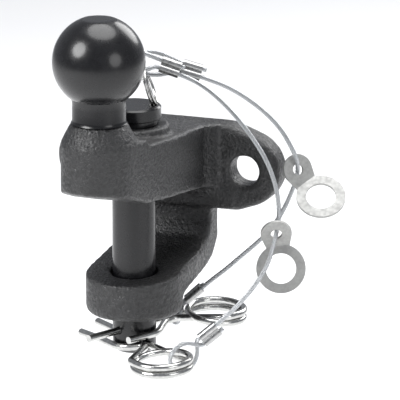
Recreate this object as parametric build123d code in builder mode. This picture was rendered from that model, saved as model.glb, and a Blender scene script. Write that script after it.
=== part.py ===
"""Flange-mounted pin-and-ball trailer hitch.

A cast body bolts to the tow bar with two bolts.  It carries a 50 mm tow ball on its nose and a
removable towing pin between two jaws.  Two spring clips lock the pin from below.  Each clip is
kept on a steel wire lanyard that hangs on a split ring in the pin's head, and each lanyard
carries one bolt plate that goes under a tow-bar bolt head.

Frame: origin at the middle of the two bolt holes on the mounting face, +Y towards the vehicle,
+X to the vehicle's side, +Z up.  Millimetres.
"""
from build123d import *
from math import cos, pi, radians, sin, tan
import os

# ---- driving dimensions -------------------------------------------------------------------

bolt_spacing = 90.0
bolt_hole_dia = 17.0
flange_thickness = 15.0
flange_top = 25.5
flange_bottom = -23.2
ear_radius = 20.5

arm_half_width = 25.0
web_half_width = 25.0

pin_y = -66.4
pin_dia = 24.0
upper_bore_dia = 24.6
lower_bore_dia = 25.4
boss_top = 36.5
boss_radius = 19.6
collar_dia = 25.6
head_underside = 39.5
head_top = 46.8
head_dia = 30.0
pin_end = -91.5

jaw_radius = 26.7
jaw_bottom = -70.0

ball_y = -119.0
ball_z = 83.0
ball_radius = 25.0
ball_flat = 23.3
neck_radius = 14.5
neck_root = 49.6
nose_radius = 20.8
nose_top = 38.6
spigot_dia = 22.0
spigot_length = 30.0

clip_wire = 4.0
clip_hole = 4.6
clip_coil_radius = 15.4
clip_coil_pitch = 4.25
clip_pin_gap = 2.4
clip_roll = 5.5
back_clip_z = -79.0
front_clip_z = -85.7

ring_wire = 1.55
ring_radius = 14.0
ring_pitch = 1.62
ring_hole = 4.6
ring_offset = 11.6

rope_dia = 2.5
ferrule_bore = rope_dia + 0.1
ferrule_barrel = 4.7
ferrule_spacing = 4.4
ferrule_length = 11.0
ferrule_out = 2.5
ferrule_clear = 6.5
rope_stub = 2.2
lower_gap = 0.3

plate_thickness = 1.6
plate_ring_radius = 13.5
plate_bolt_hole = 16.6
plate_rope_hole = 6.2
plate_tab_radius = 8.5
plate_hole_to_bend = 8.5
plate_bend_to_ring = 12.6
plate_bend = 38.0
plate_neck_width = 13.0

run_share = 0.45

os.makedirs("parts", exist_ok=True)


def save(part, name):
    """Label one finished piece and write its STEP file."""
    part.label = name
    export_step(part, f"parts/{name}.step")


# ---- shared shapes ------------------------------------------------------------------------


def wire_along(points, radii, section_radius):
    """A round wire along straight runs joined by tangent arcs."""
    with BuildPart() as wire:
        with BuildLine() as path:
            FilletPolyline(*points, radius=radii)
        with BuildSketch(Plane(origin=path.wires()[0] @ 0, z_dir=path.wires()[0] % 0)):
            Circle(section_radius)
        sweep(path=path.wires()[0])
    return wire.part


def coil_corners(centre, radius, turns, rise, corners_per_turn):
    """Corners of the polygon around a coil that starts below its centre and turns clockwise."""
    step = 360 / corners_per_turn
    reach = radius / cos(radians(step / 2))
    corners = []
    for index in range(round(turns * corners_per_turn)):
        turned = (index + 0.5) * step
        angle = radians(-90 - turned)
        corners.append((centre[0] + reach * cos(angle), centre[1] + reach * sin(angle), rise(turned)))
    return corners


# ---- hitch casting ------------------------------------------------------------------------


def make_hitch_casting():
    """Flange, upper arm with pin boss and ball nose, web and lower jaw, in one casting."""
    with BuildPart() as arm:
        with BuildSketch(Plane.YZ):
            with BuildLine():
                Polyline(
                    (-8, 25.0), (-42, 29.0), (-80, 32.5), (-100, 34.5), (-104, nose_top), (-150, nose_top),
                    (-150, 15.0), (-133, 12.5), (-103, 2.2), (-58, -3.6), (-22, -9.0), (-8, -12.0), (-8, 25.0),
                )
            make_face()
        extrude(amount=45, both=True)
        with BuildSketch(Plane.XY.offset(-20)) as outline:
            with Locations((0, ball_y)):
                Circle(nose_radius)
            with Locations((0, pin_y)):
                Circle(arm_half_width + 0.6)
            with Locations((0, -26)):
                Rectangle(2 * arm_half_width, 20)
            make_hull()
            with BuildLine():
                Polyline((-31, -8), (31, -8), (31, -15), (arm_half_width, -25), (-arm_half_width, -25),
                         (-31, -15), (-31, -8))
            make_face()
        extrude(amount=70, mode=Mode.INTERSECT)

    with BuildPart() as jaw:
        with BuildSketch(Plane.YZ):
            with BuildLine():
                Polyline(
                    (0, 0), (0, -43), (-8.5, -52), (-18, -54.8), (-54, -59.5), (-110, -59.5), (-110, -50.5),
                    (-67, -46.8), (-58, -45.4), (-28, -42.5), (-19, -38.5), (-13, -30), (-13, -22),
                    (-17, -12), (-24, 0), (0, 0),
                )
            make_face()
        extrude(amount=40, both=True)
        with BuildSketch(Plane.XY.offset(-75)):
            with Locations((0, pin_y)):
                Circle(jaw_radius)
            with Locations((0, -10)):
                Rectangle(2 * web_half_width, 20)
            make_hull()
        extrude(amount=80, mode=Mode.INTERSECT)
        with BuildSketch(Plane.XY.offset(jaw_bottom)):
            with Locations((0, pin_y)):
                Circle(jaw_radius)
        extrude(amount=20)
        bottom_rim = jaw.edges().filter_by(GeomType.CIRCLE).group_by(Axis.Z)[0]
        fillet(bottom_rim, 4.0)

    with BuildPart() as casting:
        with BuildSketch(Plane.XZ) as flange_outline:
            for side in (-1, 1):
                with Locations((side * bolt_spacing / 2, 0)):
                    Circle(ear_radius)
                with Locations((side * 34, flange_top - 9)):
                    Circle(9)
                with Locations((side * 40, flange_bottom + 9)):
                    Circle(9)
            make_hull()
        extrude(amount=flange_thickness)
        front_rim = casting.faces().sort_by(Axis.Y)[0].edges()
        fillet(front_rim, 3.0)
        add(arm.part)
        add(jaw.part)
        # nose cylinder and the cone that carries the ball's neck
        with BuildSketch(Plane.YZ):
            with BuildLine():
                Polyline((ball_y, 20), (ball_y + nose_radius, 20), (ball_y + nose_radius, nose_top),
                         (ball_y + neck_radius + 1.2, neck_root - 1.0),
                         (ball_y + neck_radius + 0.6, neck_root), (ball_y, neck_root), (ball_y, 20))
            make_face()
        revolve(axis=Axis((0, ball_y, 0), (0, 0, 1)))
        # raised pad and turned boss round the towing pin
        with BuildSketch(Plane.XY.offset(28)):
            with BuildLine():
                Polyline((-21, -34), (21, -34), (22, -52), (14, -84.5), (-14, -84.5), (-22, -52), (-21, -34))
            make_face()
        extrude(amount=8, taper=20)
        with BuildSketch(Plane.XY.offset(20)):
            with Locations((0, pin_y)):
                Circle(boss_radius)
        extrude(amount=boss_top - 20)
        # blank cast pad on the flange, below the right bolt hole
        with BuildSketch(Plane.XZ.offset(flange_thickness - 0.5)):
            with Locations((33, -16)):
                RectangleRounded(13, 9, 1.5)
        extrude(amount=1.3)
        # bolt holes, chamfered on the front
        for side in (-1, 1):
            with Locations(Plane(origin=(side * bolt_spacing / 2, -flange_thickness, 0), z_dir=(0, -1, 0))):
                CounterSinkHole(bolt_hole_dia / 2, bolt_hole_dia / 2 + 1.2, depth=flange_thickness)
        # pin bores through both jaws
        with BuildSketch(Plane.XY.offset(-30)):
            with Locations((0, pin_y)):
                Circle(upper_bore_dia / 2)
        extrude(amount=80, mode=Mode.SUBTRACT)
        with BuildSketch(Plane.XY.offset(jaw_bottom - 5)):
            with Locations((0, pin_y)):
                Circle(lower_bore_dia / 2)
        extrude(amount=45, mode=Mode.SUBTRACT)
        # blind bore for the ball's spigot
        with BuildSketch(Plane.XY.offset(neck_root - spigot_length - 0.5)):
            with Locations((0, ball_y)):
                Circle(spigot_dia / 2)
        extrude(amount=spigot_length + 5, mode=Mode.SUBTRACT)
    save(casting.part, "hitch_casting")


def make_tow_ball():
    """Turned ball with its neck and the spigot pressed into the casting's nose."""
    with BuildPart() as ball:
        with BuildSketch(Plane.YZ):
            with Locations((ball_y, ball_z)):
                Circle(ball_radius)
            with Locations((ball_y, (neck_root + ball_z) / 2)):
                Rectangle(2 * neck_radius, ball_z - neck_root)
            with Locations((ball_y, neck_root - spigot_length / 2)):
                Rectangle(spigot_dia, spigot_length)
            with Locations((ball_y, ball_z + ball_flat + 5)):
                Rectangle(60, 10, mode=Mode.SUBTRACT)
            with Locations((ball_y - 50, ball_z)):
                Rectangle(100, 300, mode=Mode.SUBTRACT)
        revolve(axis=Axis((0, ball_y, 0), (0, 0, 1)))
        spigot_end = ball.edges().filter_by(GeomType.CIRCLE).sort_by(Axis.Z)[0]
        chamfer(spigot_end, 1.0)
        flat_rim = ball.edges().filter_by(GeomType.CIRCLE).sort_by(Axis.Z)[-1]
        chamfer(flat_rim, 0.4)
    save(ball.part, "tow_ball")


# ---- towing pin and split ring ------------------------------------------------------------

# Directions in plan: ring_right points to the side of the head that the ring sits on, ring_back
# points away from the ball.  The ring stands in a plane that holds ring_back and leans a little.
ring_side_angle = 20.0
ring_lean = 17.5
ring_right = Vector(cos(radians(ring_side_angle)), sin(radians(ring_side_angle)), 0)
ring_back = Vector(-sin(radians(ring_side_angle)), cos(radians(ring_side_angle)), 0)
ring_up = Vector(0, 0, 1) * cos(radians(ring_lean)) - ring_right * sin(radians(ring_lean))
ring_hole_slope = 28.6
ring_hole_middle = Vector(0, pin_y, 0) + ring_right * ring_offset + ring_back * 4.4 + Vector(0, 0, 44.4)
ring_hole_axis = ring_back * cos(radians(ring_hole_slope)) - ring_up * sin(radians(ring_hole_slope))
ring_centre = ring_hole_middle + ring_back * 6.3 + ring_up * 11.5


def clip_plane(height, direction):
    """Plane of a clip: X along its straight leg away from the coil, Y down to its wavy leg."""
    leg = Vector(direction[0], direction[1], 0).normalized()
    aside = Vector(0, 0, 1).cross(leg)
    normal = Vector(0, 0, 1) * cos(radians(clip_roll)) + aside * sin(radians(clip_roll))
    return Plane(origin=(0, pin_y, height), x_dir=leg, z_dir=normal)


back_clip_plane = clip_plane(back_clip_z, (-0.44, -0.898))
front_clip_plane = clip_plane(front_clip_z, (-0.8, 0.6))


def make_towing_pin():
    """Headed pin with a seating collar, two clip holes and the split ring's slanting hole."""
    with BuildPart() as pin:
        with BuildSketch(Plane.YZ):
            with BuildLine():
                Polyline(
                    (pin_y, pin_end), (pin_y + pin_dia / 2 - 2, pin_end), (pin_y + pin_dia / 2, pin_end + 2),
                    (pin_y + pin_dia / 2, boss_top), (pin_y + collar_dia / 2, boss_top),
                    (pin_y + collar_dia / 2, head_underside), (pin_y + head_dia / 2 - 0.6, head_underside),
                    (pin_y + head_dia / 2, head_underside + 0.6), (pin_y + head_dia / 2, head_top - 0.9),
                    (pin_y + head_dia / 2 - 0.9, head_top), (pin_y, head_top), (pin_y, pin_end),
                )
            make_face()
        revolve(axis=Axis((0, pin_y, 0), (0, 0, 1)))
        for plane in (back_clip_plane, front_clip_plane):
            with BuildSketch(Plane(origin=plane.origin, z_dir=plane.x_dir)):
                Circle(clip_hole / 2)
            extrude(amount=30, both=True, mode=Mode.SUBTRACT)
        with BuildSketch(Plane(origin=ring_hole_middle, z_dir=ring_hole_axis)):
            Circle(ring_hole / 2)
        extrude(amount=12, both=True, mode=Mode.SUBTRACT)
    save(pin.part, "towing_pin")


def make_split_ring():
    """Two closed coils joined by a short step, with the ends each side of the step."""
    start, end, step_from, step_to = 30, 690, 330, 390

    def level(turned):
        return ring_pitch * min(max((turned - step_from) / (step_to - step_from), 0), 1) - ring_pitch / 2

    plane = Plane(origin=ring_centre, x_dir=ring_up, z_dir=ring_back.cross(ring_up))
    corners = coil_corners((0, 0), ring_radius, 2, level, 12)
    inner = [corner for index, corner in enumerate(corners) if start < (index + 0.5) * 30 < end]
    points = [plane.from_local_coords(corner) for corner in inner]
    save(wire_along(points, ring_radius * 0.96, ring_wire / 2), "head_split_ring")


# ---- spring clips -------------------------------------------------------------------------


def make_spring_clip(name, plane, free_end, coil_back, wavy_leg):
    """One-wire clip: a straight leg through the pin, a double coil and a leg that hugs the pin."""
    def rise(turned):
        return 0 if turned < 30 else clip_coil_pitch * turned / 360

    corners = coil_corners((-coil_back, clip_coil_radius), clip_coil_radius, 1.5, rise, 8)
    leg_points = [(along, aside, height) for along, aside, height, _ in wavy_leg]
    leg_radii = [radius for _, _, _, radius in wavy_leg[:-1]]
    points = [plane.from_local_coords(point) for point in [(free_end, 0, 0)] + corners + leg_points]
    radii = [clip_coil_radius * 0.96] * len(corners) + leg_radii
    save(wire_along(points, radii, clip_wire / 2), name)


def make_spring_clips():
    """Both clips; each wavy leg's points are along, aside, up and the bend's radius."""
    hug = pin_dia / 2 + clip_pin_gap
    top = clip_coil_pitch * 1.5
    coil_width = 2 * clip_coil_radius
    back_leg = [
        (-40.5, coil_width, top, 6.0), (-27.5, 4.3, 0.6, 6.0), (-19.5, 4.3, 0, 8.0), (-4.1, hug, 0, 13.0),
        (18.0, hug, 0, 0),
    ]
    front_leg = [
        (-45.0, coil_width, top, 6.0), (-15.3, 1.9, 0, 4.0), (-hug * tan(radians(30)), hug, 0, 13.0),
        (12.0, hug, 0, 12.0), (30.0, hug + 1.6, 0, 0),
    ]
    make_spring_clip("back_spring_clip", back_clip_plane, 34.4, 47.1, back_leg)
    make_spring_clip("front_spring_clip", front_clip_plane, 38.0, 51.9, front_leg)


# ---- ferrules -----------------------------------------------------------------------------


def ferrule_plane(middle, towards_run, across):
    """Plane in the middle of a ferrule: Z towards the run, X from one barrel to the other."""
    run = Vector(*towards_run)
    return Plane(origin=middle, x_dir=across, z_dir=run)


back_upper_plane = ferrule_plane((25.4, -43.9, 63.0), (0.925, 0.255, -0.280), (0.186, 0.338, 0.923))
front_upper_plane = ferrule_plane((16.2, -52.7, 65.9), (0.918, 0.243, -0.311), (0.218, 0.343, 0.914))
back_lower_plane = ferrule_plane((22.8, -33.4, -67.2), (0.696, 0.255, 0.667), (0.342, -0.940, 0.002))
front_lower_plane = ferrule_plane((52.0, -88.5, -72.1), (0.685, 0.398, 0.611), (-0.464, -0.408, 0.786))


def make_ferrule(plane, name):
    """Two crimped barrels side by side, each with its rope bore."""
    with BuildPart() as ferrule:
        with BuildSketch(plane.offset(-ferrule_length / 2)):
            for side in (-1, 1):
                with Locations((side * ferrule_spacing / 2, 0)):
                    Circle(ferrule_barrel / 2)
            Rectangle(ferrule_spacing, ferrule_barrel * 0.55)
            for side in (-1, 1):
                with Locations((side * ferrule_spacing / 2, 0)):
                    Circle(ferrule_bore / 2, mode=Mode.SUBTRACT)
        extrude(amount=ferrule_length)
    save(ferrule.part, name)


# ---- bolt plates --------------------------------------------------------------------------


def make_bolt_plate(name, rope_hole, tab_normal, towards_bend):
    """Tab with the rope hole, bent to a ring that goes under a bolt head."""
    tab = Plane(origin=rope_hole, x_dir=towards_bend, z_dir=tab_normal)
    bend = Plane(origin=tab.from_local_coords((plate_hole_to_bend, 0, 0)), x_dir=tab.x_dir, z_dir=tab.z_dir)
    turned_x = tab.x_dir * cos(radians(plate_bend)) + tab.z_dir * sin(radians(plate_bend))
    turned_z = tab.z_dir * cos(radians(plate_bend)) - tab.x_dir * sin(radians(plate_bend))
    ring = Plane(origin=bend.origin, x_dir=turned_x, z_dir=turned_z)
    with BuildPart() as plate:
        with BuildSketch(tab.offset(-plate_thickness / 2)):
            Circle(plate_tab_radius)
            with Locations((plate_hole_to_bend - 0.5, 0)):
                Rectangle(1, plate_neck_width)
            make_hull()
        extrude(amount=plate_thickness)
        with BuildSketch(ring.offset(-plate_thickness / 2)):
            with Locations((plate_bend_to_ring, 0)):
                Circle(plate_ring_radius)
            with Locations((plate_bend_to_ring / 2, 0)):
                Rectangle(plate_bend_to_ring, plate_neck_width)
        extrude(amount=plate_thickness)
        with BuildSketch(Plane(origin=bend.origin, x_dir=bend.x_dir, z_dir=bend.y_dir)):
            Circle(plate_thickness / 2)
        extrude(amount=plate_neck_width / 2, both=True)
        with BuildSketch(ring):
            with Locations((plate_bend_to_ring, 0)):
                Circle(plate_bolt_hole / 2)
        extrude(amount=plate_thickness, both=True, mode=Mode.SUBTRACT)
        with BuildSketch(tab):
            Circle(plate_rope_hole / 2)
        extrude(amount=plate_thickness, both=True, mode=Mode.SUBTRACT)
    save(plate.part, name)


# ---- lanyards -----------------------------------------------------------------------------


def bend_radii(points):
    """Largest arc that each corner's two runs leave room for."""
    corners = [Vector(*point) for point in points]
    radii = []
    for before, corner, after in zip(corners, corners[1:], corners[2:]):
        half_turn = radians((corner - before).get_angle(after - corner)) / 2
        radii.append(run_share * min((corner - before).length, (after - corner).length) / tan(half_turn))
    return radii


def make_rope(name, points):
    """One stretch of rope, with its bend radii and its length printed."""
    radii = bend_radii(points)
    rope = wire_along(points, radii, rope_dia / 2)
    length = rope.volume / (pi * rope_dia ** 2 / 4)
    print(name, "length", round(length, 1), "radii", [round(radius, 1) for radius in radii])
    save(rope, name)


def barrel_point(plane, side, along):
    """Point on the axis of one barrel of a ferrule, in the row's frame."""
    point = plane.from_local_coords((side * ferrule_spacing / 2, 0, along))
    return (point.X, point.Y, point.Z)


def eye_route(plane, run_side, loop):
    """Eye from the cut stub, through one barrel, round the loop and back through the other."""
    half = ferrule_length / 2
    stub = barrel_point(plane, -run_side, half + rope_stub)
    mouth_out = barrel_point(plane, -run_side, -half - ferrule_out)
    mouth_in = barrel_point(plane, run_side, -half - ferrule_out)
    end = barrel_point(plane, run_side, half)
    return [stub, mouth_out] + loop + [mouth_in, end]


def run_route(upper, middle, lower, lower_side):
    """Run from the lower barrel of the upper ferrule to one barrel of the lower ferrule."""
    half = ferrule_length / 2
    start = barrel_point(upper, -1, half)
    first_corner = barrel_point(upper, -1, half + ferrule_clear)
    last_corner = barrel_point(lower, lower_side, half + ferrule_clear)
    end = barrel_point(lower, lower_side, half + lower_gap)
    return [start, first_corner] + middle + [last_corner, end]


back_upper_loop = [
    (14.6, -48.0, 69.9), (8.0, -50.4, 73.2), (1.4, -52.8, 73.6), (-3.9, -54.8, 71.0), (-4.6, -55.0, 65.6),
    (-1.0, -53.7, 62.0), (5.0, -51.5, 60.2), (12.0, -48.9, 60.6),
]
back_middle = [
    (48.0, -36.0, 51.4), (60.8, -31.3, 41.6), (71.0, -28.5, 31.0), (77.4, -27.4, 20.0),
    (79.9, -23.9, 11.0), (77.5, -18.1, 0.8), (73.8, -14.6, -7.5), (70.6, -16.0, -15.8), (67.8, -21.5, -23.4),
    (60.5, -25.0, -33.5), (50.0, -28.7, -43.2), (40.5, -31.2, -52.2),
]
back_lower_loop = [
    (-30.8, 3.6, 1.7), (-30.8, 3.2, -4.0), (-31.8, -2.6, -5.4), (-34.2, -5.7, -0.7), (-36.3, -4.2, 4.6),
]
front_upper_loop = [
    (7.6, -55.9, 71.6), (2.2, -57.8, 74.0), (-2.4, -59.5, 73.4), (-4.2, -60.1, 69.4), (-1.8, -59.3, 65.4),
    (3.2, -57.4, 63.9),
]
front_middle = [
    (38.0, -50.1, 54.2), (49.8, -49.8, 44.2), (60.6, -48.9, 31.6), (69.6, -48.3, 18.6),
    (75.6, -48.6, 4.6), (78.2, -50.0, -8.0), (78.5, -52.0, -17.0), (78.3, -58.7, -26.0), (77.3, -64.6, -35.5),
    (73.4, -70.6, -45.0), (67.0, -77.6, -54.6),
]
front_lower_loop = [
    (40.9, -96.4, -75.3), (35.8, -101.5, -78.6), (33.6, -103.3, -85.1), (36.5, -100.2, -91.2),
    (41.6, -94.0, -92.2), (44.3, -90.4, -87.8), (45.7, -90.0, -81.9),
]


def in_frame(plane, points):
    """Points given in a clip's own plane, moved to the row's frame."""
    moved = [plane.from_local_coords(point) for point in points]
    return [(point.X, point.Y, point.Z) for point in moved]


def make_back_lanyard():
    """Rope from the split ring through the upper bolt plate to the back clip."""
    make_rope("back_lanyard_upper_eye", eye_route(back_upper_plane, -1, back_upper_loop))
    make_rope("back_lanyard_run", run_route(back_upper_plane, back_middle, back_lower_plane, 1))
    loop = in_frame(back_clip_plane, back_lower_loop)
    make_rope("back_lanyard_lower_eye", eye_route(back_lower_plane, 1, loop[::-1]))


def make_front_lanyard():
    """Rope from the split ring through the lower bolt plate to the front clip."""
    make_rope("front_lanyard_upper_eye", eye_route(front_upper_plane, -1, front_upper_loop))
    make_rope("front_lanyard_run", run_route(front_upper_plane, front_middle, front_lower_plane, 1))
    make_rope("front_lanyard_lower_eye", eye_route(front_lower_plane, 1, front_lower_loop[::-1]))


make_hitch_casting()
make_tow_ball()
make_towing_pin()
make_split_ring()
make_spring_clips()
make_ferrule(back_upper_plane, "back_upper_ferrule")
make_ferrule(front_upper_plane, "front_upper_ferrule")
make_ferrule(back_lower_plane, "back_lower_ferrule")
make_ferrule(front_lower_plane, "front_lower_ferrule")
make_bolt_plate("upper_bolt_plate", (78.7, -21.0, 5.9), (0.677, -0.673, 0.297), (0.505, 0.132, -0.853))
make_bolt_plate("lower_bolt_plate", (78.4, -55.3, -21.5), (0.394, -0.837, -0.378), (-0.031, 0.400, -0.916))
make_back_lanyard()
make_front_lanyard()
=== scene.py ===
"""Looks of a flange-mounted pin-and-ball trailer hitch, laid out as a Blender add-on.

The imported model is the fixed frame.  Each operator makes one piece or one group of like pieces on
it, and the stage operator adds the floor, the lights and the camera.
"""
import math

import bmesh
import bpy
from mathutils import Matrix, Vector, noise


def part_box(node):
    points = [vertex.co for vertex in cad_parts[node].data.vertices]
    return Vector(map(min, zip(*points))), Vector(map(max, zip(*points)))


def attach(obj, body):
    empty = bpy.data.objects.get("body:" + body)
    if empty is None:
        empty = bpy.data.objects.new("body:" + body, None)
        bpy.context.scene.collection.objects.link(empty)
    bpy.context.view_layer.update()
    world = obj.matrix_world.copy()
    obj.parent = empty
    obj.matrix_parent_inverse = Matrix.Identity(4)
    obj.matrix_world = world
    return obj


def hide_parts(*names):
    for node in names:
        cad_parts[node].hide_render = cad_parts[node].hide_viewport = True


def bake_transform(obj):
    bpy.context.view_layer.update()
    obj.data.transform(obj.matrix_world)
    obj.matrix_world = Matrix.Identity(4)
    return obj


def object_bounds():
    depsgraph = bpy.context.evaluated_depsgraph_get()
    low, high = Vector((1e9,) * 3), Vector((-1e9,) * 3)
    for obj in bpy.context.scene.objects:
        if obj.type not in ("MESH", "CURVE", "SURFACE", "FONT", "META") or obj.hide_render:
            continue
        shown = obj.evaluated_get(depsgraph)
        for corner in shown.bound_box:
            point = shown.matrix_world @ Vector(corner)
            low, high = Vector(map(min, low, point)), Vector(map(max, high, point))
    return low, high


bl_info = {
    "name": "Trailer Hitch With Ball",
    "version": (1, 0, 0),
    "blender": (4, 5, 0),
    "location": "View3D > Sidebar > Hitch",
    "description": "Dresses a pin-and-ball trailer hitch with its finishes, wire ropes and stage",
    "category": "Object",
}

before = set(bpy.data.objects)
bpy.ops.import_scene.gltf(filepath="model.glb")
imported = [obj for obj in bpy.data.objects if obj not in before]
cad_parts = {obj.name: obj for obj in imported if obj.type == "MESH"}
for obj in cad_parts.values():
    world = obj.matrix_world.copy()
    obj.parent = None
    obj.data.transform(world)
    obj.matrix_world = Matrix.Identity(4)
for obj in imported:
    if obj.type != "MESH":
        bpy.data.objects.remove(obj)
cad_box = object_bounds()

MM = 0.001

# Passes that round the casting's edges, and the two wavelengths of its unevenness.
ROUNDING_PASSES = 18
LONG_WAVE = 9 * MM
SHORT_WAVE = 3 * MM
# Depth of the ball's middle below its flat, its neck's radius and the height of the neck's root.
BALL_FLAT = 23.3 * MM
NECK_RADIUS = 14.5 * MM
NECK_ROOT = 49.6 * MM
# How far the studio floor lies below the hitch.
FLOOR_DROP = 220 * MM


# ---- settings a user would change ---------------------------------------------------------


class HitchSizes(bpy.types.PropertyGroup):
    """Sizes of the pieces made here."""

    rope_diameter: bpy.props.FloatProperty(
        name="Rope diameter", description="Outside diameter of the wire ropes", default=2.5 * MM,
        unit="LENGTH",
    )
    rope_lay: bpy.props.FloatProperty(
        name="Rope lay", description="Length of one full turn of a strand", default=13 * MM, unit="LENGTH"
    )
    rope_strands: bpy.props.IntProperty(
        name="Strands", description="Strands laid round the rope's core", default=6, min=3, max=8
    )
    casting_voxel: bpy.props.FloatProperty(
        name="Casting detail", description="Voxel size of the casting's skin", default=0.95 * MM,
        unit="LENGTH",
    )
    casting_roughness: bpy.props.FloatProperty(
        name="Casting skin", description="Height of the sand-cast unevenness", default=0.16 * MM,
        unit="LENGTH",
    )
    ball_diameter: bpy.props.FloatProperty(
        name="Ball diameter", description="Diameter of the tow ball", default=50 * MM, unit="LENGTH"
    )


class HitchColours(bpy.types.PropertyGroup):
    """Colours of the finishes, as sRGB hex."""

    cast_paint: bpy.props.StringProperty(
        name="Casting paint", description="Black paint on the casting", default="#0b0b0c"
    )
    gloss_paint: bpy.props.StringProperty(
        name="Gloss paint", description="Black enamel on the ball and the pin", default="#0b0b0d"
    )
    zinc: bpy.props.StringProperty(
        name="Zinc", description="Bright zinc on the wire clips and the split ring", default="#c2c2c0"
    )
    plate_zinc: bpy.props.StringProperty(
        name="Plate zinc", description="Dull zinc on the bolt plates", default="#a9a9a7"
    )
    aluminium: bpy.props.StringProperty(
        name="Aluminium", description="Pressed aluminium of the ferrules", default="#b9b9b8"
    )
    rope_steel: bpy.props.StringProperty(
        name="Rope steel", description="Galvanised wire of the ropes", default="#c9cbcd"
    )
    floor: bpy.props.StringProperty(name="Floor", description="Pale studio floor", default="#f4f4f4")


def linear(colour):
    """Linear RGBA of an sRGB hex colour."""
    parts = [int(colour[index:index + 2], 16) / 255 for index in (1, 3, 5)]
    return [part / 12.92 if part <= 0.04045 else ((part + 0.055) / 1.055) ** 2.4 for part in parts] + [1]


def shade(colour, amount):
    """The linear colour made darker or lighter by a factor."""
    return [min(part * amount, 1) for part in linear(colour)[:3]] + [1]


# ---- materials ----------------------------------------------------------------------------


def add_node(tree, kind, settings=None, links=None):
    """Add a node with its socket values or properties, and links into its sockets."""
    node = tree.nodes.new(kind)
    for name, value in (settings or {}).items():
        if name in node.inputs:
            node.inputs[name].default_value = value
        else:
            setattr(node, name, value)
    for name, socket in (links or {}).items():
        tree.links.new(socket, node.inputs[name])
    return node


def start_material(name, settings):
    """A material with a Principled shader and the Object coordinates of its piece."""
    material = bpy.data.materials.new(name)
    material.use_nodes = True
    tree = material.node_tree
    tree.nodes.clear()
    shader = add_node(tree, "ShaderNodeBsdfPrincipled", settings)
    add_node(tree, "ShaderNodeOutputMaterial", links={"Surface": shader.outputs["BSDF"]})
    place = add_node(tree, "ShaderNodeTexCoord").outputs["Object"]
    return material, tree, shader, place


def grain(tree, place, size, detail=4.0, roughness=0.55):
    """Noise whose lumps are about the given size in metres."""
    settings = {"Scale": 1 / size, "Detail": detail, "Roughness": roughness}
    return add_node(tree, "ShaderNodeTexNoise", settings, {"Vector": place}).outputs["Fac"]


def blend_colours(tree, factor, low, high, low_at=0.35, high_at=0.65):
    """Colour ramp between two linear colours."""
    ramp = add_node(tree, "ShaderNodeValToRGB", links={"Fac": factor})
    ramp.color_ramp.elements[0].position = low_at
    ramp.color_ramp.elements[0].color = low
    ramp.color_ramp.elements[1].position = high_at
    ramp.color_ramp.elements[1].color = high
    return ramp.outputs["Color"]


def spread(tree, factor, low, high):
    """Number that goes from low to high over the middle of a noise."""
    settings = {"From Min": 0.3, "From Max": 0.7, "To Min": low, "To Max": high}
    return add_node(tree, "ShaderNodeMapRange", settings, {"Value": factor}).outputs["Result"]


def bump(tree, height, depth, below=None):
    """Normal for a height pattern of the given depth in metres, on top of another one."""
    links = {"Height": height}
    if below is not None:
        links["Normal"] = below
    return add_node(tree, "ShaderNodeBump", {"Strength": 1.0, "Distance": depth}, links).outputs["Normal"]


def make_cast_iron_paint(colours):
    """Sand-cast iron under thin black paint: the sand's grit shows through and sparkles; its lighter specks
    in the colour are partly grit tone and partly painted sparkle.
    """
    settings = {"Metallic": 0.0, "IOR": 1.5, "Specular IOR Level": 0.75}
    material, tree, shader, place = start_material("painted_cast_iron", settings)
    # sand grit drawn at 1.8 mm, coarser than real grit so that it shows, and lumps of 4 mm
    grit = grain(tree, place, 1.8 * MM, 3.0, 0.6)
    lumps = grain(tree, place, 4 * MM, 3.0)
    # base colour from 0.4 to 3.2 times the paint over the grit: partly the grit's own tone, partly painted
    # sparkle, the grainy paint's reflections drawn into the colour
    dark, light = shade(colours.cast_paint, 0.4), shade(colours.cast_paint, 3.2)
    paint = blend_colours(tree, grit, dark, light, 0.4, 0.68)
    tree.links.new(paint, shader.inputs["Base Color"])
    tree.links.new(spread(tree, grit, 0.62, 0.22), shader.inputs["Roughness"])
    rough = bump(tree, grit, 1.1 * MM, bump(tree, lumps, 0.35 * MM))
    tree.links.new(rough, shader.inputs["Normal"])
    return material


def make_gloss_enamel(colours):
    """Turned steel under gloss black enamel: deep reflections with a faint orange peel."""
    settings = {"Metallic": 0.0, "IOR": 1.5, "Specular IOR Level": 0.4}
    settings.update({"Coat Weight": 0.2, "Coat Roughness": 0.1})
    material, tree, shader, place = start_material("gloss_black_enamel", settings)
    # orange peel of 2.5 mm, and dust and rub marks of 7 mm
    peel = grain(tree, place, 2.5 * MM, 2.0)
    rubs = grain(tree, place, 7 * MM, 5.0, 0.7)
    paint = blend_colours(tree, rubs, linear(colours.gloss_paint), shade(colours.gloss_paint, 1.7))
    tree.links.new(paint, shader.inputs["Base Color"])
    tree.links.new(spread(tree, rubs, 0.22, 0.32), shader.inputs["Roughness"])
    tree.links.new(bump(tree, peel, 0.010 * MM), shader.inputs["Normal"])
    return material


def make_bright_zinc(colours):
    """Drawn spring wire with bright zinc: mirror-like, with a soft mottle."""
    material, tree, shader, place = start_material("bright_zinc_wire", {"Metallic": 1.0})
    # plating mottle of 1.6 mm and drawing marks of 0.3 mm
    mottle = grain(tree, place, 1.6 * MM, 4.0)
    marks = grain(tree, place, 0.3 * MM, 2.0)
    metal = blend_colours(tree, mottle, shade(colours.zinc, 0.82), shade(colours.zinc, 1.08))
    tree.links.new(metal, shader.inputs["Base Color"])
    tree.links.new(spread(tree, mottle, 0.13, 0.24), shader.inputs["Roughness"])
    tree.links.new(bump(tree, marks, 0.008 * MM), shader.inputs["Normal"])
    return material


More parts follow.
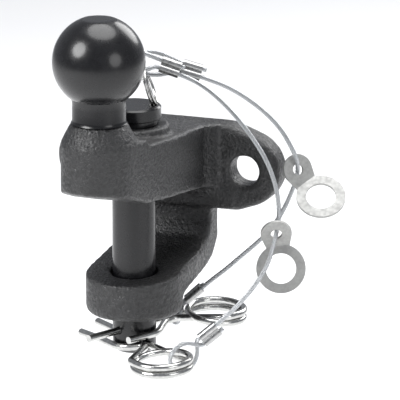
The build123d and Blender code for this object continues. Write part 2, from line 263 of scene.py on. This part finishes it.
def make_plate_zinc(colours):
    """Blanked steel strip with dull zinc: a soft grey with spangle and handling marks."""
    material, tree, shader, place = start_material("dull_zinc_plate", {"Metallic": 1.0})
    # zinc spangle of 1.8 mm and fine grit of 0.25 mm
    cells = {"Scale": 1 / (1.8 * MM)}
    spangle = add_node(tree, "ShaderNodeTexVoronoi", cells, {"Vector": place}).outputs["Distance"]
    grit = grain(tree, place, 0.25 * MM, 3.0)
    cloud = grain(tree, place, 5 * MM, 5.0, 0.65)
    metal = blend_colours(tree, cloud, shade(colours.plate_zinc, 0.88), shade(colours.plate_zinc, 1.06))
    tree.links.new(metal, shader.inputs["Base Color"])
    tree.links.new(spread(tree, spangle, 0.56, 0.66), shader.inputs["Roughness"])
    tree.links.new(bump(tree, grit, 0.012 * MM), shader.inputs["Normal"])
    return material


def make_pressed_aluminium(colours):
    """Ferrules pressed in a die: soft satin metal with fine drag marks."""
    material, tree, shader, place = start_material("pressed_aluminium", {"Metallic": 1.0})
    # drag marks of 0.35 mm, and dull patches of 2 mm where the die rubbed
    marks = grain(tree, place, 0.35 * MM, 3.0)
    patches = grain(tree, place, 2.0 * MM, 3.0)
    metal = blend_colours(tree, patches, shade(colours.aluminium, 0.8), shade(colours.aluminium, 1.05))
    tree.links.new(metal, shader.inputs["Base Color"])
    tree.links.new(spread(tree, patches, 0.24, 0.36), shader.inputs["Roughness"])
    tree.links.new(bump(tree, marks, 0.015 * MM), shader.inputs["Normal"])
    return material


def make_rope_steel(colours):
    """Galvanised wires laid in strands: painted highlights on the wire crowns and painted shade in the
    valleys between the wires.
    """
    material, tree, shader, place = start_material("galvanised_rope", {"Metallic": 1.0})
    # single wires of 0.27 mm read as a fine grain, over the strands that are modelled
    wires = grain(tree, place, 0.27 * MM, 2.0)
    soil = grain(tree, place, 3 * MM, 4.0)
    # the fine grain in the colour is painted highlight on each wire's crown and painted shade between the
    # wires
    metal = blend_colours(tree, wires, shade(colours.rope_steel, 0.62), shade(colours.rope_steel, 1.15))
    tree.links.new(metal, shader.inputs["Base Color"])
    tree.links.new(spread(tree, soil, 0.3, 0.42), shader.inputs["Roughness"])
    tree.links.new(bump(tree, wires, 0.03 * MM), shader.inputs["Normal"])
    return material


def dress_node(node, material):
    """Give a carried-over CAD node its finish."""
    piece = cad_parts[node]
    if not piece.material_slots:
        piece.data.materials.append(material)
    for slot in piece.material_slots:
        slot.material = material


# ---- shared shapes ------------------------------------------------------------------------


def new_piece(name, mesh, material, body):
    """A finished mesh as a piece at the origin that rides on a CAD body, when one is given."""
    piece = bpy.data.objects.new(name, mesh)
    bpy.context.scene.collection.objects.link(piece)
    mesh.materials.clear()
    mesh.materials.append(material)
    mesh.polygons.foreach_set("use_smooth", [True] * len(mesh.polygons))
    if body:
        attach(piece, body)
    return piece


def finished_mesh(piece):
    """The piece's mesh with its modifiers applied."""
    graph = bpy.context.evaluated_depsgraph_get()
    return bpy.data.meshes.new_from_object(piece.evaluated_get(graph))


# ---- casting, ball and pin ----------------------------------------------------------------


class HITCH_OT_casting(bpy.types.Operator):
    """Cast body with rounded edges and the uneven skin that sand leaves"""

    bl_idname = "hitch.casting"
    bl_label = "Casting"

    def execute(self, context):
        sizes = context.scene.hitch_sizes
        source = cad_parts["hitch_casting"]
        shape = bmesh.new()
        shape.from_mesh(source.data)
        bmesh.ops.remove_doubles(shape, verts=shape.verts, dist=0.01 * MM)
        mesh = bpy.data.meshes.new("casting_blank")
        shape.to_mesh(mesh)
        shape.free()
        blank = bpy.data.objects.new("casting_blank", mesh)
        context.scene.collection.objects.link(blank)
        remesh = blank.modifiers.new("skin", "REMESH")
        remesh.mode = "VOXEL"
        remesh.voxel_size = sizes.casting_voxel
        round_off = blank.modifiers.new("round_off", "SMOOTH")
        round_off.factor = 0.5
        round_off.iterations = ROUNDING_PASSES
        skin = finished_mesh(blank)
        skin.name = "cast_body"
        bpy.data.objects.remove(blank)
        rough = bmesh.new()
        rough.from_mesh(skin)
        rough.normal_update()
        for vert in rough.verts:
            wave = noise.noise(vert.co / LONG_WAVE) + 0.5 * noise.noise(vert.co / SHORT_WAVE)
            vert.co += vert.normal * wave * sizes.casting_roughness
        rough.to_mesh(skin)
        rough.free()
        piece = new_piece("cast_body", skin, make_cast_iron_paint(context.scene.hitch_colours), "casting")
        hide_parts("hitch_casting")
        return {"FINISHED"}


class HITCH_OT_ball(bpy.types.Operator):
    """Turned tow ball with its flat, neck and root fillet, spun from half its outline"""

    bl_idname = "hitch.ball"
    bl_label = "Tow ball"

    def execute(self, context):
        radius = context.scene.hitch_sizes.ball_diameter / 2
        low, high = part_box("tow_ball")
        axis = Vector(((low[0] + high[0]) / 2, (low[1] + high[1]) / 2, 0))
        flat_z = high[2]
        middle_z = flat_z - BALL_FLAT
        neck, root_z = NECK_RADIUS, NECK_ROOT
        flat_radius = math.sqrt(radius ** 2 - (flat_z - middle_z) ** 2)
        join_z = middle_z - math.sqrt(radius ** 2 - neck ** 2)
        top_angle = math.atan2(flat_z - middle_z, flat_radius)
        low_angle = math.atan2(join_z - middle_z, neck)
        outline = [(0, flat_z), (flat_radius * 0.6, flat_z), (flat_radius - 0.35 * MM, flat_z)]
        for step in range(49):
            angle = top_angle - 0.012 + (low_angle - top_angle + 0.03) * step / 48
            outline.append((radius * math.cos(angle), middle_z + radius * math.sin(angle)))
        outline += [(neck, join_z - 1.4 * MM), (neck, join_z - 4 * MM), (neck, root_z + 2 * MM)]
        outline += [(neck + 0.15 * MM, root_z + 0.8 * MM), (neck + 0.7 * MM, root_z + 0.1 * MM)]
        outline += [(neck - 3.4 * MM, root_z - 1 * MM), (neck - 3.6 * MM, low[2] + 1 * MM)]
        outline += [(neck - 4.6 * MM, low[2]), (0, low[2])]
        shape = bmesh.new()
        verts = [shape.verts.new((axis.x + reach, axis.y, height)) for reach, height in outline]
        edges = [shape.edges.new(pair) for pair in zip(verts, verts[1:])]
        bmesh.ops.spin(shape, geom=verts + edges, cent=axis, axis=(0, 0, 1), angle=math.tau, steps=128,
                       use_merge=True)
        bmesh.ops.remove_doubles(shape, verts=shape.verts, dist=0.005 * MM)
        bmesh.ops.recalc_face_normals(shape, faces=shape.faces)
        mesh = bpy.data.meshes.new("tow_ball_turned")
        shape.to_mesh(mesh)
        shape.free()
        piece = new_piece("tow_ball_turned", mesh, make_gloss_enamel(context.scene.hitch_colours), "casting")
        mesh.set_sharp_from_angle(angle=math.radians(38))
        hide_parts("tow_ball")
        return {"FINISHED"}


class HITCH_OT_hard_parts(bpy.types.Operator):
    """Finishes of the pin, the wire parts, the ferrules and the bolt plates"""

    bl_idname = "hitch.hard_parts"
    bl_label = "Pin, clips, ring, ferrules and plates"

    def execute(self, context):
        colours = context.scene.hitch_colours
        dress_node("towing_pin", make_gloss_enamel(colours))
        zinc = make_bright_zinc(colours)
        for node in ("head_split_ring", "back_spring_clip", "front_spring_clip"):
            dress_node(node, zinc)
        aluminium = make_pressed_aluminium(colours)
        for side in ("back", "front"):
            for level in ("upper", "lower"):
                dress_node(f"{side}_{level}_ferrule", aluminium)
        plate = make_plate_zinc(colours)
        for node in ("upper_bolt_plate", "lower_bolt_plate"):
            dress_node(node, plate)
        return {"FINISHED"}


# ---- wire ropes ---------------------------------------------------------------------------

# Each ferrule: its middle, the direction towards the rope's run, and from one barrel to the other.
FERRULES = {
    "back_upper": ((25.4, -43.9, 63.0), (0.925, 0.255, -0.280), (0.186, 0.338, 0.923)),
    "front_upper": ((16.2, -52.7, 65.9), (0.918, 0.243, -0.311), (0.218, 0.343, 0.914)),
    "back_lower": ((22.8, -33.4, -67.2), (0.696, 0.255, 0.667), (0.342, -0.940, 0.002)),
    "front_lower": ((52.0, -88.5, -72.1), (0.685, 0.398, 0.611), (-0.464, -0.408, 0.786)),
}
BARREL_OFFSET = 2.2
STUB_END = 7.7
MOUTH = -4.5
MOUTH_CORNER = -8.0
RUN_CORNER = 12.0

BACK_UPPER_LOOP = [
    (14.6, -48.0, 69.9), (8.0, -50.4, 73.2), (1.4, -52.8, 73.6), (-3.9, -54.8, 71.0), (-4.6, -55.0, 65.6),
    (-1.0, -53.7, 62.0), (5.0, -51.5, 60.2), (12.0, -48.9, 60.6),
]
BACK_RUN = [
    (48.0, -36.0, 51.4), (60.8, -31.3, 41.6), (71.0, -28.5, 31.0), (77.4, -27.4, 20.0), (79.9, -23.9, 11.0),
    (77.5, -18.1, 0.8), (73.8, -14.6, -7.5), (70.6, -16.0, -15.8), (67.8, -21.5, -23.4),
    (60.5, -25.0, -33.5), (50.0, -28.7, -43.2), (40.5, -31.2, -52.2),
]
# along the clip's leg, aside and up, from the pin's axis at the back clip's height
BACK_LOWER_LOOP = [
    (-30.8, 3.6, 1.7), (-30.8, 3.2, -4.0), (-31.8, -2.6, -5.4), (-34.2, -5.7, -0.7), (-36.3, -4.2, 4.6),
]
FRONT_UPPER_LOOP = [
    (7.6, -55.9, 71.6), (2.2, -57.8, 74.0), (-2.4, -59.5, 73.4), (-4.2, -60.1, 69.4), (-1.8, -59.3, 65.4),
    (3.2, -57.4, 63.9),
]
FRONT_RUN = [
    (38.0, -50.1, 54.2), (49.8, -49.8, 44.2), (60.6, -48.9, 31.6), (69.6, -48.3, 18.6), (75.6, -48.6, 4.6),
    (78.2, -50.0, -8.0), (78.5, -52.0, -17.0), (78.3, -58.7, -26.0), (77.3, -64.6, -35.5),
    (73.4, -70.6, -45.0), (67.0, -77.6, -54.6),
]
FRONT_LOWER_LOOP = [
    (40.9, -96.4, -75.3), (35.8, -101.5, -78.6), (33.6, -103.3, -85.1), (36.5, -100.2, -91.2),
    (41.6, -94.0, -92.2), (44.3, -90.4, -87.8), (45.7, -90.0, -81.9),
]
BACK_CLIP_PLACE = (0, -66.4, -79.0)
BACK_CLIP_LEG = (-0.44, -0.898, 0)
BACK_CLIP_ASIDE = (0.898, -0.44, 0)
CLIP_ROLL = math.radians(5.5)


def barrel(ferrule, side, along):
    """Point on one barrel's axis, in millimetres."""
    middle, towards_run, across = FERRULES[ferrule]
    run = Vector(towards_run).normalized()
    level = Vector(across)
    level = (level - run * level.dot(run)).normalized()
    return Vector(middle) + run * along + level * side * BARREL_OFFSET


def back_lower_loop():
    """The back rope's lower eye, moved from the clip's own directions to the frame."""
    leg = Vector(BACK_CLIP_LEG).normalized()
    aside = Vector(BACK_CLIP_ASIDE).normalized()
    place = Vector(BACK_CLIP_PLACE)
    level = Vector((0, 0, 1))
    down_aside = aside * math.cos(CLIP_ROLL) - level * math.sin(CLIP_ROLL)
    normal = level * math.cos(CLIP_ROLL) + aside * math.sin(CLIP_ROLL)
    return [place + leg * along + down_aside * out + normal * up for along, out, up in BACK_LOWER_LOOP]


def rope_points(side, upper_loop, run, lower_loop):
    """The rope's control points in metres, from the upper cut end to the lower one."""
    upper, lower = f"{side}_upper", f"{side}_lower"
    points = [barrel(upper, 1, STUB_END), barrel(upper, 1, MOUTH), barrel(upper, 1, MOUTH_CORNER)]
    points += [Vector(point) for point in upper_loop]
    points += [barrel(upper, -1, MOUTH_CORNER), barrel(upper, -1, MOUTH), barrel(upper, -1, RUN_CORNER)]
    points += [Vector(point) for point in run]
    points += [barrel(lower, 1, RUN_CORNER), barrel(lower, 1, MOUTH), barrel(lower, 1, MOUTH_CORNER)]
    points += [Vector(point) for point in lower_loop]
    points += [barrel(lower, -1, MOUTH_CORNER), barrel(lower, -1, MOUTH), barrel(lower, -1, STUB_END)]
    return [point * MM for point in points]


def smooth_line(name, points):
    """Points read from a NURBS spline through the control points, first to last."""
    curve = bpy.data.curves.new(name, "CURVE")
    curve.dimensions = "3D"
    curve.resolution_u = 16
    spline = curve.splines.new("NURBS")
    spline.points.add(len(points) - 1)
    for control, point in zip(spline.points, points):
        control.co = (*point, 1)
    spline.order_u = 3
    spline.use_endpoint_u = True
    guide = bpy.data.objects.new(name, curve)
    bpy.context.scene.collection.objects.link(guide)
    mesh = finished_mesh(guide)
    line = [vert.co.copy() for vert in mesh.vertices]
    bpy.data.objects.remove(guide)
    bpy.data.curves.remove(curve)
    return line


def laid_rope(name, line, diameter, lay, strands):
    """Mesh of a core and strands laid round it, carried along the line without twist."""
    ratio = math.sin(math.pi / strands)
    strand_radius = diameter / 2 * ratio / (1 + ratio)
    pitch_radius = diameter / 2 - strand_radius
    frames = []
    normal = None
    travelled = 0
    for index, point in enumerate(line):
        ahead = line[min(index + 1, len(line) - 1)] - line[max(index - 1, 0)]
        tangent = ahead.normalized()
        if normal is None:
            normal = tangent.orthogonal()
        normal = (normal - tangent * normal.dot(tangent)).normalized()
        if index:
            travelled += (point - line[index - 1]).length
        frames.append((point, normal.copy(), tangent.cross(normal), travelled))
    shape = bmesh.new()
    for strand in range(strands + 1):
        rings = []
        for point, across, up, distance in frames:
            angle = math.tau * (strand / strands + distance / lay)
            reach = 0 if strand == strands else pitch_radius
            radius = pitch_radius - strand_radius * 0.6 if strand == strands else strand_radius * 1.04
            middle = point + (across * math.cos(angle) + up * math.sin(angle)) * reach
            ring = []
            for corner in range(8):
                turn = math.tau * corner / 8
                outward = across * math.cos(turn) + up * math.sin(turn)
                ring.append(shape.verts.new(middle + outward * radius))
            rings.append([shape.edges.new((ring[corner - 1], ring[corner])) for corner in range(8)])
        for first, second in zip(rings, rings[1:]):
            bmesh.ops.bridge_loops(shape, edges=first + second)
        bmesh.ops.holes_fill(shape, edges=rings[0] + rings[-1], sides=8)
    bmesh.ops.recalc_face_normals(shape, faces=shape.faces)
    mesh = bpy.data.meshes.new(name)
    shape.to_mesh(mesh)
    shape.free()
    return mesh


def evenly_spaced(line, gap):
    """The same line with its points about one gap apart."""
    spaced = [line[0]]
    for point in line[1:-1]:
        if (point - spaced[-1]).length >= gap:
            spaced.append(point)
    return spaced + [line[-1]]


class HITCH_OT_lanyards(bpy.types.Operator):
    """Two wire ropes with an eye at each end, from the split ring to the spring clips"""

    bl_idname = "hitch.lanyards"
    bl_label = "Wire ropes"

    def execute(self, context):
        steel = make_rope_steel(context.scene.hitch_colours)
        routes = {
            "back": (BACK_UPPER_LOOP, BACK_RUN, back_lower_loop()[::-1], "upper_bolt_plate"),
            "front": (FRONT_UPPER_LOOP, FRONT_RUN, FRONT_LOWER_LOOP[::-1], "lower_bolt_plate"),
        }
        for side, (upper_loop, run, lower_loop, plate) in routes.items():
            self.make_lanyard(context, side, rope_points(side, upper_loop, run, lower_loop), plate, steel)
        return {"FINISHED"}

    def make_lanyard(self, context, side, points, plate, steel):
        """One rope with its upper eye at the pin and its lower one at its clip, baked into the frame on no
        body.
        """
        sizes = context.scene.hitch_sizes
        line = evenly_spaced(smooth_line(f"{side}_route", points), 0.55 * MM)
        mesh = laid_rope(f"{side}_lanyard", line, sizes.rope_diameter, sizes.rope_lay, sizes.rope_strands)
        piece = new_piece(f"{side}_lanyard", mesh, steel, None)
        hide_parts(*[f"{side}_lanyard_{part}" for part in ("upper_eye", "run", "lower_eye")])
        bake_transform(piece)


# ---- stage --------------------------------------------------------------------------------


class HITCH_OT_stage(bpy.types.Operator):
    """Pale floor, soft studio lights and a long-lens camera"""

    bl_idname = "hitch.stage"
    bl_label = "Stage"

    def execute(self, context):
        self.lay_floor(context)
        self.hang_lights(context)
        self.set_camera(context)
        self.light_world(context)
        context.scene.view_settings.view_transform = "Standard"
        return {"FINISHED"}

    def lay_floor(self, context):
        """Matt pale floor well below the lowest point, with a faint unevenness."""
        shape = bmesh.new()
        bmesh.ops.create_grid(shape, x_segments=1, y_segments=1, size=12,
                              matrix=Matrix.Translation((0, 0, cad_box[0][2] - FLOOR_DROP)))
        mesh = bpy.data.meshes.new("studio_floor")
        shape.to_mesh(mesh)
        shape.free()
        floor = bpy.data.objects.new("studio_floor", mesh)
        context.scene.collection.objects.link(floor)
        material, tree, shader, place = start_material("studio_paper", {"Roughness": 0.9})
        pale = context.scene.hitch_colours.floor
        tint = blend_colours(tree, grain(tree, place, 0.4), shade(pale, 0.985), linear(pale))
        tree.links.new(tint, shader.inputs["Base Color"])
        mesh.materials.append(material)

    def hang_lights(self, context):
        """Large round soft boxes: key at the upper left, fill at the right, one overhead, one behind."""
        lights = [
            ("key", (-1.0, -1.3, 1.1), 1.1, 36),
            ("fill", (1.6, -0.9, 0.5), 1.0, 7),
            ("top", (0.1, 0.1, 1.7), 1.6, 34),
            ("back", (0.5, 1.6, 0.9), 1.2, 18),
        ]
        for name, place, width, power in lights:
            lamp = bpy.data.lights.new(f"{name}_soft_box", "AREA")
            lamp.shape = "DISK"
            lamp.size = width
            lamp.energy = power
            holder = bpy.data.objects.new(f"{name}_soft_box", lamp)
            holder.location = place
            holder.rotation_euler = (-Vector(place)).to_track_quat("-Z", "Y").to_euler()
            context.scene.collection.objects.link(holder)

    def set_camera(self, context):
        """Camera to the right of the ball's end and a little above, three metres away."""
        side, rise = math.radians(20.0), math.radians(15.4)
        away = Vector((math.sin(side) * math.cos(rise), -math.cos(side) * math.cos(rise), math.sin(rise)))
        aim = Vector((17.3, -8.7, -20.4)) * MM
        camera = bpy.data.cameras.new("product_camera")
        camera.lens = 486
        camera.sensor_width = 36
        camera.clip_end = 50
        holder = bpy.data.objects.new("product_camera", camera)
        holder.location = aim + away * 3.0
        holder.rotation_euler = (-away).to_track_quat("-Z", "Y").to_euler()
        context.scene.collection.objects.link(holder)
        context.scene.camera = holder

    def light_world(self, context):
        """White surround behind the object, with greyer light round it for contrast in the metal."""
        world = bpy.data.worlds.new("studio_surround")
        world.use_nodes = True
        tree = world.node_tree
        tree.nodes.clear()
        path = add_node(tree, "ShaderNodeLightPath")
        seen = add_node(tree, "ShaderNodeBackground", {"Color": (1, 1, 1, 1), "Strength": 1.0})
        round_it = add_node(tree, "ShaderNodeBackground", {"Color": (0.9, 0.93, 1, 1), "Strength": 0.36})
        both = add_node(tree, "ShaderNodeMixShader", links={"Fac": path.outputs["Is Camera Ray"]})
        tree.links.new(round_it.outputs["Background"], both.inputs[1])
        tree.links.new(seen.outputs["Background"], both.inputs[2])
        add_node(tree, "ShaderNodeOutputWorld", links={"Surface": both.outputs["Shader"]})
        context.scene.world = world


# ---- panel and registration ---------------------------------------------------------------


class HITCH_PT_panel(bpy.types.Panel):
    """Sizes, colours and the steps that make the hitch"""

    bl_idname = "HITCH_PT_panel"
    bl_label = "Trailer hitch"
    bl_space_type = "VIEW_3D"
    bl_region_type = "UI"
    bl_category = "Hitch"

    def draw(self, context):
        for settings in (context.scene.hitch_sizes, context.scene.hitch_colours):
            for name in settings.__annotations__:
                self.layout.prop(settings, name)
        for step in STEPS:
            self.layout.operator(step.bl_idname)


STEPS = (HITCH_OT_stage, HITCH_OT_lanyards, HITCH_OT_casting, HITCH_OT_ball, HITCH_OT_hard_parts)
CLASSES = (HitchSizes, HitchColours, *STEPS, HITCH_PT_panel)


def register():
    for entry in CLASSES:
        bpy.utils.register_class(entry)
    bpy.types.Scene.hitch_sizes = bpy.props.PointerProperty(type=HitchSizes)
    bpy.types.Scene.hitch_colours = bpy.props.PointerProperty(type=HitchColours)


def unregister():
    del bpy.types.Scene.hitch_colours
    del bpy.types.Scene.hitch_sizes
    for entry in reversed(CLASSES):
        bpy.utils.unregister_class(entry)


def main():
    """Make every piece."""
    register()
    bpy.ops.hitch.stage()
    bpy.ops.hitch.lanyards()
    bpy.ops.hitch.casting()
    bpy.ops.hitch.ball()
    bpy.ops.hitch.hard_parts()


if __name__ == "__main__":
    main()
